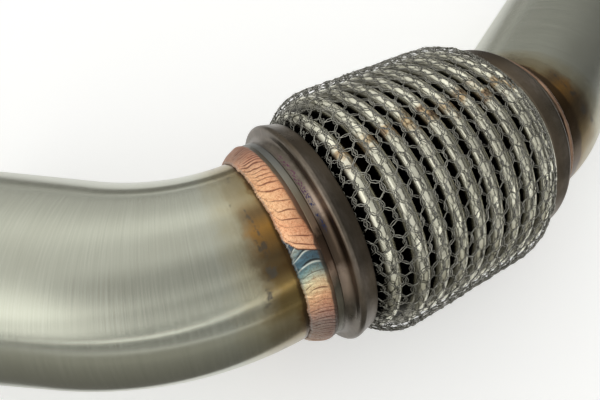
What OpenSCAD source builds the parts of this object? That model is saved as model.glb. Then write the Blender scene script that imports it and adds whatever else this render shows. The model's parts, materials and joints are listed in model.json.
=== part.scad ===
// Turbo downpipe: two mandrel bent tubes joined by a flex coupling.
// The coupling's axis lies along X, the turbo side at +X and the outlet side at -X.
// Both tubes bend to the same side, in one plane that dips until both flanges and the
// coupling's sleeve touch the surface that the pipe lies on.
// The origin is the centre of the turbo flange's face. Millimetres.

/* [Tubes] */
// Outside diameter of both tubes
tube_od = 76.2; // [70:0.1:84]
// Wall of both tubes
tube_wall = 1.5; // [1:0.1:2.5]
// Length of tube that slips inside each end of the coupling
tube_insert = 13; // [6:0.5:16]
// Clearance all round where one round piece slips over another
slip_gap = 0.3; // [0.1:0.05:0.5]

/* [Bends] */
// Centre line radius of the bend on the outlet side
outlet_bend_r = 114.3; // [100:0.1:150]
// Angle of the bend on the outlet side
outlet_bend_angle = 34.5; // [28:0.5:45]
// Straight run between the coupling and the bend on the outlet side
outlet_run = 8; // [2:0.5:20]
// Centre line radius of the bend on the turbo side
turbo_bend_r = 60; // [50:0.5:110]
// Angle of the bend on the turbo side
turbo_bend_angle = 27; // [22:0.5:40]
// Straight run between the coupling and the bend on the turbo side
turbo_run = 0.5; // [0:0.5:20]
// How much the tube draws down in its bends, on the radius
bend_draw = 0.05; // [0.03:0.01:0.3]
// Sideways offset of both flange faces from the coupling's axis
flange_offset = 76; // [60:1:110]

/* [Collars] */
// Width of the collar at each end
collar_width = 3; // [2:0.5:5]
// Wall of the collar at each end
collar_wall = 1.8; // [1:0.1:3]

/* [End caps] */
// Sheet thickness of the end caps
cap_sheet = 1.4; // [0.8:0.1:1.8]
// Length of an end cap from its collar to its mouth
cap_len = 11.5; // [10:0.5:13]
// Height of the crown of the rolled lip above the neck of the cap
cap_rise = 5.5; // [5:0.1:7]
// Distance from the collar to the crown of the rolled lip
cap_crown_at = 5.2; // [4.5:0.1:6]
// How far the mouth of the cap rolls back in below its crown
cap_roll_in = 1.3; // [0.8:0.1:1.6]

/* [Bellows] */
// Number of convolutions
convolutions = 10; // [8:1:12]
// Height of the full convolutions above their roots
convolution_height = 10.6; // [9:0.1:13]
// Height of the first and last convolution above their roots
end_convolution_height = 6.8; // [5.5:0.1:7.2]
// Width of one crest
crest_width = 5.6; // [4.6:0.1:6]
// Pitch of the convolutions
convolution_pitch = 8.64; // [8:0.02:10]
// Length of the plain cuff at each end of the bellows
cuff_len = 18.32; // [17:0.02:24]
// Clearance between the liner's folds and the roots
root_clearance = 0.6; // [0.3:0.1:1.5]
// Sheet thickness of the bellows, both plies together
bellows_sheet = 0.6; // [0.4:0.1:0.8]

/* [Knitted sleeve] */
// Clearance between the crests of the bellows and the knit
knit_clearance = 1.3; // [0.8:0.1:3]
// Thickness of the knit
knit_thickness = 1.3; // [0.9:0.1:1.5]
// Length of each shoulder of the sleeve
shoulder_len = 16; // [14:0.5:20]
// Number of loops around the sleeve
loops_around = 20; // [16:1:20]
// Number of rows of loops along the sleeve
loop_rows = 6; // [4:1:6]
// Width of the strands between the gaps
strand = 3.2; // [2.6:0.1:4]

/* [Liner] */
// Sheet thickness of the interlocked liner
liner_sheet = 1; // [0.6:0.1:1.2]
// Height of the liner's folds
liner_fold = 1.2; // [0.6:0.1:1.4]
// Number of turns in the liner
liner_turns = 14; // [10:1:18]

/* [Welds] */
// Length along the tube of the bead on the outlet side of the coupling
outlet_bead = 9.5; // [6:0.5:14]
// Length along the tube of the bead on the turbo side of the coupling
turbo_bead = 4.5; // [3:0.5:8]
// Swell of both beads above a straight fillet
bead_swell = 1.2; // [0.2:0.1:1.6]
// Width of the butt welds at the flanges
butt_width = 6; // [4:0.5:9]
// Height of the butt welds at the flanges
butt_height = 1.2; // [0.6:0.1:2]

/* [Flanges] */
// Height of the flange rims above the tube
rim_height = 9.4; // [8:0.1:12]
// Thickness of the flange rims
rim_thickness = 3.5; // [2.5:0.1:6]
// Length of the flanges, from the face to the weld
flange_len = 14; // [12:0.5:20]
// Slope of the back of the rims, for the band clamp
clamp_slope = 20; // [15:1:25]
// Height of the slope on the back of the rims
clamp_depth = 5.5; // [4:0.1:6]
// Width of the step between the hub of the outlet flange and the recess in its face
register = 1.6; // [1:0.1:2]
// Depth of the recess in the face of the outlet flange
recess = 1.6; // [1:0.1:3]

/* [Hidden] */
$fn = 96;
arc_steps = 10;
crest_steps = 6;
past = 1;
lap = 0.1;

// The layers of the coupling, from the tube outwards
tube_r = tube_od / 2;
bore_r = tube_r - tube_wall;
liner_in = tube_r + slip_gap;
liner_end_out = liner_in + liner_sheet;
liner_out = liner_end_out + liner_fold;
cuff_in = liner_end_out + slip_gap;
cuff_out = cuff_in + bellows_sheet;
collar_in = cuff_out + slip_gap;
collar_out = collar_in + collar_wall;
neck_out = collar_in + cap_sheet;
root_r = liner_out + root_clearance + bellows_sheet;
crest_r = root_r + convolution_height;
end_crest_r = root_r + end_convolution_height;
sleeve_r = crest_r + knit_clearance + knit_thickness;
cap_crown_r = neck_out + cap_rise;
mouth_out = cap_crown_r - cap_roll_in;
mouth_in = mouth_out - cap_sheet;
sleeve_end_r = mouth_in - slip_gap;

// Places along the coupling, from its middle
bellows_x = (convolutions - 1) / 2 * convolution_pitch + crest_width / 2;
end_x = bellows_x + cuff_len;
cap_x = end_x - collar_width;
crown_x = cap_x - cap_crown_at;
mouth_x = cap_x - cap_len;
shoulder_set = 0.5;
shoulder_x = mouth_x - shoulder_set;

// The two routes: straight lengths that bring both faces to the same offset
outlet_straight = (flange_offset - outlet_bend_r * (1 - cos(outlet_bend_angle))) / sin(outlet_bend_angle);
turbo_straight = (flange_offset - turbo_bend_r * (1 - cos(turbo_bend_angle))) / sin(turbo_bend_angle);
outlet_start = end_x + outlet_run;
turbo_start = end_x + turbo_run;
flange_r = tube_r + rim_height;

// The dip of the bend plane that lets the flanges touch what the sleeve lies on
dip = asin((sleeve_r - flange_r) / flange_offset);

// The turbo flange's face, before the dip
turbo_face_x = turbo_start + turbo_bend_r * sin(turbo_bend_angle) + turbo_straight * cos(turbo_bend_angle);

// Points of an arc about a centre, from one angle to another
function arc(centre, r, from, to, steps = arc_steps) =
    [for (i = [0 : steps])
        let (turn = from + (to - from) * i / steps)
        centre + r * [cos(turn), sin(turn)]];

// Points in reverse order
function reversed(points) = [for (i = [len(points) - 1 : -1 : 0]) points[i]];

// Places everything in the part's own frame
module in_frame() {
    translate([-turbo_face_x, -flange_offset * cos(dip), flange_offset * sin(dip)])
        rotate([-dip, 0, 0])
            children();
}

// Turns an outline, drawn with X along the axis and Y as radius, about the X axis
module turned_about_x() {
    rotate([0, 90, 0])
        rotate([0, 0, 180])
            rotate_extrude()
                mirror([1, 0])
                    rotate(90)
                        children();
}

// Puts a piece of the turbo side on the outlet side
module on_outlet_side() {
    mirror([1, 0, 0])
        children();
}

// A solid bar of radius r along one route, from inside the coupling to its flange face less trim.
// The bend is drawn down a little, and the straight runs lap over its ends.
module route(r, bend_r, bend_angle, start, straight, back, trim) {
    translate([end_x - back, 0, 0])
        rotate([0, 90, 0])
            cylinder(r = r, h = start + lap - end_x + back);
    translate([start, bend_r, 0])
        rotate([0, 0, -90])
            rotate_extrude(angle = bend_angle)
                translate([bend_r, 0])
                    circle(r = r - bend_draw);
    at_bend_end(bend_r, bend_angle, start)
        translate([-lap, 0, 0])
            rotate([0, 90, 0])
                cylinder(r = r, h = straight + lap - trim);
}

// Moves a piece to the end of the bend, with X along the tube
module at_bend_end(bend_r, bend_angle, start) {
    translate([start + bend_r * sin(bend_angle), bend_r * (1 - cos(bend_angle)), 0])
        rotate([0, 0, bend_angle])
            children();
}

module turbo_route(r, back, trim) {
    route(r, turbo_bend_r, turbo_bend_angle, turbo_start, turbo_straight, back, trim);
}

module outlet_route(r, back, trim) {
    route(r, outlet_bend_r, outlet_bend_angle, outlet_start, outlet_straight, back, trim);
}

// Moves a piece to a flange's face, with X pointing out of the pipe
module at_turbo_face() {
    at_bend_end(turbo_bend_r, turbo_bend_angle, turbo_start)
        translate([turbo_straight, 0, 0])
            children();
}

module at_outlet_face() {
    at_bend_end(outlet_bend_r, outlet_bend_angle, outlet_start)
        translate([outlet_straight, 0, 0])
            children();
}

// Flange for a band clamp: face at X = 0, with or without a recess, body towards -X
module flange(depth) {
    slope_foot = rim_thickness + clamp_depth * tan(clamp_slope);
    hub_r = flange_r - clamp_depth;
    face = depth > 0
        ? [[-depth, bore_r], [-depth, hub_r - register], [0, hub_r - register]]
        : [[0, bore_r]];
    turned_about_x()
        polygon(concat(
            [[-flange_len, bore_r]],
            face,
            [[0, flange_r],
             [-rim_thickness, flange_r],
             [-slope_foot, hub_r],
             [-flange_len + butt_width / 2, tube_r],
             [-flange_len, tube_r]]));
}

// Butt weld round the joint between a flange and its tube
module flange_weld() {
    crown = butt_height + (butt_width * butt_width / 4 - butt_height * butt_height) / (2 * butt_height);
    spread = asin(butt_width / 2 / crown);
    translate([-flange_len, 0, 0])
        turned_about_x()
            polygon(arc([0, tube_r + butt_height - crown], crown, 90 + spread, 90 - spread));
}

// Fillet of weld between the tube and the coupling's end
module coupling_bead(bead_len) {
    rise = collar_out - tube_r;
    slope = norm([bead_len, rise]);
    swell_r = (slope * slope / 4 + bead_swell * bead_swell) / (2 * bead_swell);
    lean = atan2(rise, -bead_len);
    half = asin(slope / 2 / swell_r);
    middle = [end_x + bead_len / 2, (collar_out + tube_r) / 2];
    centre = middle - (swell_r - bead_swell) * [sin(lean), -cos(lean)];
    turned_about_x()
        polygon(concat(
            arc(centre, swell_r, lean - 90 - half, lean - 90 + half),
            [[end_x, tube_r]]));
}

// Collar at the end of the coupling, with a rounded outer edge
module collar() {
    edge = min(collar_width, collar_wall) / 3;
    turned_about_x()
        polygon(concat(
            [[end_x, collar_in], [end_x, collar_out]],
            arc([cap_x + edge, collar_out - edge], edge, 90, 180),
            [[cap_x, collar_in]]));
}

// Pressed end cap: neck, concave flare, crowned lip and rolled mouth
module cap() {
    land = 0.6;
    lean = 10;
    crown_bend = cap_sheet + 0.3;
    crown = [crown_x, cap_crown_r - crown_bend];
    flare_r = (cap_crown_at - land - crown_bend) / cos(lean);
    flare = [cap_x - land, neck_out + flare_r];
    mouth = [mouth_x + cap_sheet / 2, mouth_out - cap_sheet / 2];
    turned_about_x()
        polygon(concat(
            [[cap_x, collar_in], [cap_x, neck_out]],
            arc(flare, flare_r, 270, 180 + lean),
            arc(crown, crown_bend, lean, 100),
            arc(mouth, cap_sheet / 2, 90, 270),
            arc(crown, crown_bend - cap_sheet, 100, lean, 3),
            arc(flare, flare_r + cap_sheet, 180 + lean, 270)));
}

// One surface of the bellows as a line of points; inset is 0 outside and the sheet inside
function crest_height(i) = (i == 0 || i == convolutions - 1) ? end_crest_r : crest_r;
function crest_x(i) = (i - (convolutions - 1) / 2) * convolution_pitch;
function bellows_line(inset) =
    let (half = crest_width / 2, gap = (convolution_pitch - crest_width) / 2)
    [for (i = [0 : convolutions - 1])
        each concat(
            arc([crest_x(i), crest_height(i) - half], half - inset, 180, 0, crest_steps),
            i == convolutions - 1
                ? []
                : arc([crest_x(i) + convolution_pitch / 2, root_r + gap], gap + inset,
                      180, 360, crest_steps))];

module bellows() {
    color([0.78, 0.79, 0.74])
        in_frame()
            turned_about_x()
                polygon(concat(
                    [[-end_x, cuff_in], [-end_x, cuff_out], [-bellows_x, cuff_out]],
                    bellows_line(0),
                    [[bellows_x, cuff_out], [end_x, cuff_out], [end_x, cuff_in],
                     [bellows_x - bellows_sheet, cuff_in]],
                    reversed(bellows_line(bellows_sheet)),
                    [[-bellows_x + bellows_sheet, cuff_in]]));
}

// Interlocked liner: a smooth bore with slits, and a fold over each slit
module liner() {
    span = 2 * (bellows_x - bellows_sheet - slip_gap);
    pitch = span / liner_turns;
    fold_width = pitch * 0.6;
    slit = pitch * 0.18;
    color([0.55, 0.55, 0.52])
        in_frame()
            turned_about_x()
                difference() {
                    union() {
                        translate([-end_x, liner_in])
                            square([2 * end_x, liner_sheet]);
                        for (i = [0 : liner_turns - 1])
                            translate([-span / 2 + (i + 0.5) * pitch - fold_width / 2, liner_in])
                                square([fold_width, liner_sheet + liner_fold]);
                    }
                    for (i = [0 : liner_turns - 1])
                        translate([-span / 2 + (i + 0.5) * pitch - slit / 2, liner_in - past])
                            square([slit, liner_sheet * 0.8 + past]);
                }
}

// Outside radius of the sleeve at a place along it
function sleeve_at(x) =
    let (t = max(0, min(1, (shoulder_x - abs(x)) / shoulder_len)))
    sleeve_r - (sleeve_r - sleeve_end_r) * (1 - t) * (1 - t);

// Wall of the sleeve: straight in the middle, with a rounded shoulder at each end
module sleeve_wall() {
    steps = 4;
    tuck = cap_len * 0.35;
    rise = [for (i = [0 : steps]) shoulder_len * i / steps - shoulder_x];
    xs = concat(rise, [for (x = reversed(rise)) -x]);
    outer = [for (x = xs) [x, sleeve_at(x)]];
    inner = [for (x = xs) [x, sleeve_at(x) - knit_thickness]];
    turned_about_x()
        polygon(concat(
            [[-shoulder_x - tuck, sleeve_end_r - knit_thickness], [-shoulder_x - tuck, sleeve_end_r]],
            outer,
            [[shoulder_x + tuck, sleeve_end_r], [shoulder_x + tuck, sleeve_end_r - knit_thickness]],
            reversed(inner)));
}

// One six sided gap between strands, cut outwards from inside the wall
module gap(along, around) {
    from = around * loops_around / (2 * PI) + 0.1;
    translate([0, 0, from])
        linear_extrude(height = sleeve_r + past - from)
            polygon([[along / 4, around / 2], [along / 2, 0], [along / 4, -around / 2],
                     [-along / 4, -around / 2], [-along / 2, 0], [-along / 4, around / 2]]);
}

module knit_sleeve() {
    pitch = 2 * shoulder_x / (loop_rows + 1 / 3);
    along = pitch * 4 / 3 - strand;
    around = 2 * PI * sleeve_r / loops_around - strand;
    color([0.66, 0.67, 0.63])
        in_frame()
            difference() {
                sleeve_wall();
                for (row = [0 : loop_rows - 1])
                    for (i = [0 : loops_around - 1])
                        rotate([(i + row % 2 / 2) * 360 / loops_around, 0, 0])
                            translate([(row - (loop_rows - 1) / 2) * pitch, 0, 0])
                                gap(along, around);
            }
}

module turbo_tube() {
    color([0.62, 0.62, 0.57])
        in_frame()
            difference() {
                turbo_route(tube_r, tube_insert, flange_len);
                turbo_route(bore_r, tube_insert + past, flange_len - past);
            }
}

module outlet_tube() {
    color([0.62, 0.62, 0.57])
        in_frame()
            on_outlet_side()
                difference() {
                    outlet_route(tube_r, tube_insert, flange_len);
                    outlet_route(bore_r, tube_insert + past, flange_len - past);
                }
}

module turbo_coupling_weld() {
    color([0.5, 0.38, 0.3])
        in_frame()
            coupling_bead(turbo_bead);
}

module outlet_coupling_weld() {
    color([0.82, 0.58, 0.42])
        in_frame()
            on_outlet_side()
                coupling_bead(outlet_bead);
}

module turbo_collar() {
    color([0.4, 0.4, 0.36])
        in_frame()
            collar();
}

module outlet_collar() {
    color([0.4, 0.4, 0.36])
        in_frame()
            on_outlet_side()
                collar();
}

module turbo_cap() {
    color([0.3, 0.24, 0.21])
        in_frame()
            cap();
}

module outlet_cap() {
    color([0.33, 0.27, 0.23])
        in_frame()
            on_outlet_side()
                cap();
}

module turbo_flange() {
    color([0.68, 0.68, 0.64])
        in_frame()
            at_turbo_face()
                flange(0);
}

module outlet_flange() {
    color([0.68, 0.68, 0.64])
        in_frame()
            on_outlet_side()
                at_outlet_face()
                    flange(recess);
}

module turbo_flange_weld() {
    color([0.6, 0.52, 0.42])
        in_frame()
            at_turbo_face()
                flange_weld();
}

module outlet_flange_weld() {
    color([0.6, 0.52, 0.42])
        in_frame()
            on_outlet_side()
                at_outlet_face()
                    flange_weld();
}

turbo_flange();
turbo_flange_weld();
turbo_tube();
turbo_coupling_weld();
turbo_collar();
turbo_cap();
bellows();
liner();
knit_sleeve();
outlet_cap();
outlet_collar();
outlet_coupling_weld();
outlet_tube();
outlet_flange_weld();
outlet_flange();
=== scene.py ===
"""Looks of the turbo downpipe: bent tubes, and a flex coupling with bellows under a knitted wire sleeve."""

import json
from math import acos, cos, hypot, pi, radians, sin

import bpy
import numpy as np
from mathutils import Matrix, Vector


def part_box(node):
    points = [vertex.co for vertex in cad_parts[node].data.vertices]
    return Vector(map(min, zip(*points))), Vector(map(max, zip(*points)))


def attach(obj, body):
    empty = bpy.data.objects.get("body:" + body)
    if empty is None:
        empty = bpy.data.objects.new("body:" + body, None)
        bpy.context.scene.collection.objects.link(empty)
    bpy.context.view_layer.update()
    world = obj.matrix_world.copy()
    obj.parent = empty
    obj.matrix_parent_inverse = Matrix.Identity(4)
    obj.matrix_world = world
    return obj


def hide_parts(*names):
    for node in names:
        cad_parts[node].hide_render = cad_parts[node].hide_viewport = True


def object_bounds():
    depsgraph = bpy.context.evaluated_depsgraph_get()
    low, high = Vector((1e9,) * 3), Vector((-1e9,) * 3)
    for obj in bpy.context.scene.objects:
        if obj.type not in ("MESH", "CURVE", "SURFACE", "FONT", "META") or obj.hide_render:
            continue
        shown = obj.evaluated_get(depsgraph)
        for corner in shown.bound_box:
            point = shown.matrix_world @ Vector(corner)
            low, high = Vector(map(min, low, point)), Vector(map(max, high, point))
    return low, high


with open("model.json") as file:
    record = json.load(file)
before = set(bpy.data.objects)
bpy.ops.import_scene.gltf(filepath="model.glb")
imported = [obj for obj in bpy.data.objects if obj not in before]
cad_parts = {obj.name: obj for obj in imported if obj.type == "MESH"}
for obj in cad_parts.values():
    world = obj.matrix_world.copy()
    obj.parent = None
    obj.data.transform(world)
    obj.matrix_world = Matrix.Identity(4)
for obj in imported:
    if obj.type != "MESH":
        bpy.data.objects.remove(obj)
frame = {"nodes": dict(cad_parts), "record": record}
cad_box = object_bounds()

MM = 0.001
BODY = "root"

# Sizes of the real pieces, in millimetres, as the CAD model has them, but for the crests' width:
# 6.2 as the photograph shows it, and 5.6 in the model
TUBE_R = 38.1
BORE_R = 36.6
TUBE_INSERT = 13.0
OUTLET_BEND_R = 114.3
OUTLET_RUN = 8.0
TURBO_BEND_R = 60.0
TURBO_RUN = 0.5
FLANGE_LEN = 14.0
END_X = 60.0
COLLAR_WIDTH = 3.0
COLLAR_IN = 40.6
COLLAR_OUT = 42.4
CAP_X = END_X - COLLAR_WIDTH
CAP_SHEET = 1.4
CAP_LEN = 11.5
CAP_CROWN_R = 47.5
CAP_CROWN_AT = 5.2
CAP_ROLL_IN = 1.3
NECK_OUT = COLLAR_IN + CAP_SHEET
MOUTH_OUT = CAP_CROWN_R - CAP_ROLL_IN
MOUTH_X = CAP_X - CAP_LEN
CONVOLUTIONS = 10
PITCH = 8.64
CREST_WIDTH = 6.2
CREST_R = 52.4
END_CREST_R = 48.6
ROOT_R = 41.8
BELLOWS_SHEET = 0.6
CUFF_IN = 39.7
CUFF_OUT = CUFF_IN + BELLOWS_SHEET
SLEEVE_R = 55.0
SLEEVE_END_R = 44.5
SHOULDER_X = 45.0
SHOULDER_LEN = 16.0
OUTLET_BEAD = 9.5
TURBO_BEAD = 4.5
BEAD_SWELL = 1.2

# The coupling's own frame: X along it, OUT towards the side that both tubes bend to, UP away from the floor
low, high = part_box("bellows")
CENTRE = (low + high) / 2
ALONG = Vector((1, 0, 0))
OUT = Vector((0, -CENTRE.y, -CENTRE.z)).normalized()
UP = ALONG.cross(OUT)
TO_WORLD = np.array((ALONG, OUT, UP))
MOUNTS = {mount["name"]: mount for mount in frame["record"]["mounts"]}


def bend_angle(mount):
    """Angle in radians between the coupling and the tube that ends at this mount."""
    return acos(abs(Vector(MOUNTS[mount]["axis"]).dot(ALONG)))


OUTLET_BEND = bend_angle("outlet_face")
TURBO_BEND = bend_angle("turbo_face")
OFFSET = hypot(CENTRE.y, CENTRE.z) / MM


def straight_length(bend_r, angle):
    """Length of straight tube that brings the flange's face to the common offset."""
    return (OFFSET - bend_r * (1 - cos(angle))) / sin(angle)


def to_world(points):
    """Points in the coupling's frame, in millimetres, to the row's frame, in metres."""
    return np.asarray(points, float) @ TO_WORLD * MM + np.array(CENTRE)


def new_piece(name, points, quads, materials, replaces, lay=None):
    """One mesh piece of four sided faces, with points in the coupling's frame.

    lay has a UV pair for each face corner."""
    mesh = bpy.data.meshes.new(name)
    points = to_world(points)
    quads = np.asarray(quads, np.int32)
    mesh.vertices.add(len(points))
    mesh.vertices.foreach_set("co", points.astype(np.float32).ravel())
    mesh.loops.add(quads.size)
    mesh.loops.foreach_set("vertex_index", quads.ravel())
    mesh.polygons.add(len(quads))
    mesh.polygons.foreach_set("loop_start", np.arange(0, quads.size, 4, dtype=np.int32))
    mesh.polygons.foreach_set("loop_total", np.full(len(quads), 4, np.int32))
    mesh.polygons.foreach_set("use_smooth", np.ones(len(quads), bool))
    if lay is not None:
        mesh.uv_layers.new(name="lay").data.foreach_set("uv", np.asarray(lay, np.float32).ravel())
    mesh.update(calc_edges=True)
    mesh.validate()
    piece = bpy.data.objects.new(name, mesh)
    bpy.context.scene.collection.objects.link(piece)
    mesh.materials.append(materials)
    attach(piece, BODY)
    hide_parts(*replaces)
    return piece


def set_value(piece, name, values):
    """A number for each point of a piece, which its material reads."""
    attribute = piece.data.attributes.new(name, "FLOAT", "POINT")
    attribute.data.foreach_set("value", np.asarray(values, np.float32).ravel())


def ring_quads(rings, around, closed=False):
    """Faces of a tube of rings with this many points around; closed joins the last ring to the first."""
    count = rings if closed else rings - 1
    ring = np.arange(count)[:, None]
    point = np.arange(around)[None, :]
    following = (ring + 1) % rings
    turn = (point + 1) % around
    return np.stack([ring * around + point, ring * around + turn,
                     following * around + turn, following * around + point], axis=-1).reshape(-1, 4)


def ring_lay(along, around, closed=False):
    """UV of those faces: U is the length along in metres, V goes from 0 to 1 around."""
    along = np.asarray(along, float) * MM
    count = len(along) if closed else len(along) - 1
    first = np.repeat(along[:count], around)
    second = np.repeat(np.roll(along, -1)[:count], around)
    here = np.tile(np.arange(around) / around, count)
    there = here + 1 / around
    return np.stack([np.stack([first, here], -1), np.stack([first, there], -1),
                     np.stack([second, there], -1), np.stack([second, here], -1)], axis=1)


def arc(centre, r, start, end, steps):
    """Points of an arc in degrees."""
    return [(centre[0] + r * cos(radians(start + (end - start) * i / steps)),
             centre[1] + r * sin(radians(start + (end - start) * i / steps))) for i in range(steps + 1)]


# The seam of every turned piece lies underneath, where the angle is -90 degrees
SEAM = -90.0
TURN_POINTS = 224
CREASE = radians(40)


def turned_points(profile, around):
    """Points of an outline of (x, radius) pairs turned about the coupling's axis."""
    profile = np.asarray(profile, float)
    angles = np.radians(SEAM + 360 * np.arange(around) / around)
    x = np.repeat(profile[:, 0], around)
    r = np.repeat(profile[:, 1], around)
    angles = np.tile(angles, len(profile))
    return np.stack([x, r * np.cos(angles), r * np.sin(angles)], -1)


def turned(name, profile, slot, replaces, place=None):
    """A closed outline turned about the coupling's axis; place may move its points elsewhere."""
    points = turned_points(profile, TURN_POINTS)
    if place is not None:
        points = place(points)
    steps = [0.0]
    for a, b in zip(profile, profile[1:]):
        steps.append(steps[-1] + hypot(b[0] - a[0], b[1] - a[1]))
    quads = ring_quads(len(profile), TURN_POINTS, closed=True)
    lay = ring_lay(steps, TURN_POINTS, closed=True)
    piece = new_piece(name, points, quads, MATERIALS[slot], replaces, lay)
    piece.data.set_sharp_from_angle(angle=CREASE)
    return piece


def mirrored(profile):
    """An outline moved from the turbo side to the outlet side, in the same direction of travel."""
    return [(-x, r) for x, r in reversed(profile)]


# Short calls for material nodes

def new_material(name):
    """A material with its tree and its metal shader."""
    material = bpy.data.materials.new(name)
    material.use_nodes = True
    tree = material.node_tree
    shader = tree.nodes["Principled BSDF"]
    shader.inputs["Metallic"].default_value = 1.0
    return material, tree, shader


def node(tree, kind, **settings):
    """A new node with these settings."""
    made = tree.nodes.new(kind)
    for key, value in settings.items():
        setattr(made, key, value)
    return made


def feed(tree, socket, value):
    """Links a socket, or sets a plain value."""
    if isinstance(value, bpy.types.NodeSocket):
        tree.links.new(value, socket)
    elif value is not None:
        socket.default_value = value


def calc(tree, operation, a, b=None, c=None):
    made = node(tree, "ShaderNodeMath", operation=operation)
    for socket, value in zip(made.inputs, (a, b, c)):
        feed(tree, socket, value)
    return made.outputs[0]


def times(tree, *values):
    """Product of several values."""
    made = values[0]
    for value in values[1:]:
        made = calc(tree, "MULTIPLY", made, value)
    return made


def off(tree, value, middle):
    """Distance of a value from a middle one, on both sides."""
    return calc(tree, "ABSOLUTE", calc(tree, "SUBTRACT", value, middle))


def shifted(tree, cloud, by, value):
    """A value moved up and down by a noise, this much from its lowest to its highest."""
    return calc(tree, "MULTIPLY_ADD", calc(tree, "SUBTRACT", cloud, 0.5), by, value)


def mapped(tree, value, low_in, high_in, low_out=0.0, high_out=1.0, smooth=True):
    """A value taken from one range to another, held at its ends."""
    made = node(tree, "ShaderNodeMapRange", interpolation_type="SMOOTHSTEP" if smooth else "LINEAR")
    for socket, setting in zip(made.inputs, (value, low_in, high_in, low_out, high_out)):
        feed(tree, socket, setting)
    return made.outputs[0]


def window(tree, value, rise_from, rise_to, fall_from, fall_to):
    """1 between two slopes and 0 outside them."""
    falling = mapped(tree, value, fall_from, fall_to, 1.0, 0.0)
    return times(tree, mapped(tree, value, rise_from, rise_to), falling)


def mixed(tree, share, first, second, blend="MIX"):
    """Colour between two others, or blended from them."""
    made = node(tree, "ShaderNodeMix", data_type="RGBA", blend_type=blend)
    feed(tree, made.inputs[0], share)
    feed(tree, made.inputs[6], (*first, 1) if isinstance(first, tuple) else first)
    feed(tree, made.inputs[7], (*second, 1) if isinstance(second, tuple) else second)
    return made.outputs[2]


def shaded(tree, share, colour, by):
    """A colour darkened by another one where the share is 1."""
    return mixed(tree, share, colour, mixed(tree, 1.0, colour, by, "MULTIPLY"))


def ramp(tree, share, stops):
    """Colours, or greys, along a share from 0 to 1."""
    made = node(tree, "ShaderNodeValToRGB")
    elements = made.color_ramp.elements
    while len(elements) > 1:
        elements.remove(elements[-1])
    for i, (at, colour) in enumerate(stops):
        element = elements[0] if i == 0 else elements.new(at)
        element.position = at
        element.color = (*colour, 1) if isinstance(colour, tuple) else (colour, colour, colour, 1)
    feed(tree, made.inputs[0], share)
    return made.outputs[0]


def noise(tree, vector, scale, detail, roughness=0.6):
    made = node(tree, "ShaderNodeTexNoise")
    feed(tree, made.inputs["Vector"], vector)
    made.inputs["Scale"].default_value = scale
    made.inputs["Detail"].default_value = detail
    made.inputs["Roughness"].default_value = roughness
    return made.outputs["Fac"]


def joined(tree, x, y, z):
    """A vector, or a colour, from its three parts."""
    made = node(tree, "ShaderNodeCombineXYZ")
    for socket, value in zip(made.inputs, (x, y, z)):
        feed(tree, socket, value)
    return made.outputs[0]


def bump(tree, height, strength, distance, normal=None):
    made = node(tree, "ShaderNodeBump")
    made.inputs["Strength"].default_value = strength
    made.inputs["Distance"].default_value = distance
    feed(tree, made.inputs["Height"], height)
    feed(tree, made.inputs["Normal"], normal)
    return made.outputs[0]


def coupling_places(tree):
    """Place along the coupling in mm from its middle, and angle in degrees from -90 to 270."""
    texture = node(tree, "ShaderNodeTexCoord")
    moved = node(tree, "ShaderNodeVectorMath", operation="SUBTRACT")
    feed(tree, moved.inputs[0], texture.outputs["Object"])
    moved.inputs[1].default_value = CENTRE
    parts = []
    for direction in (ALONG, OUT, UP):
        made = node(tree, "ShaderNodeVectorMath", operation="DOT_PRODUCT")
        feed(tree, made.inputs[0], moved.outputs[0])
        made.inputs[1].default_value = direction / MM
        parts.append(made.outputs["Value"])
    x, out, up = parts
    return x, angle_from(tree, out, up)


def angle_from(tree, out, up):
    """Angle in degrees from -90 to 270 of a direction across the coupling."""
    angle = calc(tree, "ARCTAN2", calc(tree, "MULTIPLY", out, -1.0), up)
    return calc(tree, "MULTIPLY_ADD", angle, 180 / pi, 90.0)


def tube_places(tree):
    """Length along a tube in mm from the coupling's end, and angle in degrees from -90 to 270."""
    lay = node(tree, "ShaderNodeUVMap", uv_map="lay")
    parts = node(tree, "ShaderNodeSeparateXYZ")
    feed(tree, parts.inputs[0], lay.outputs[0])
    angle = calc(tree, "MULTIPLY_ADD", parts.outputs[1], 360.0, SEAM)
    return times(tree, parts.outputs[0], 1 / MM), angle


def ring_vector(tree, along, angle, turns, per_mm):
    """Where a noise is read on a round piece: its scale around, and its scale for each millimetre along."""
    turn = calc(tree, "MULTIPLY", angle, pi / 180)
    cosine, sine = calc(tree, "COSINE", turn), calc(tree, "SINE", turn)
    return joined(tree, times(tree, cosine, turns), times(tree, sine, turns), times(tree, along, per_mm))


def by_angle(tree, angle, stops):
    """Colours, or greys, at angles from -90 to 270 degrees around the coupling."""
    share = calc(tree, "DIVIDE", calc(tree, "ADD", angle, 90.0), 360.0)
    return ramp(tree, share, [((at + 90) / 360, value) for at, value in stops])


def set_tangent(tree, shader):
    """Stretches highlights along the piece, across the brushing."""
    tangent = node(tree, "ShaderNodeTangent", direction_type="UV_MAP", uv_map="lay")
    feed(tree, shader.inputs["Tangent"], tangent.outputs[0])


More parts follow.
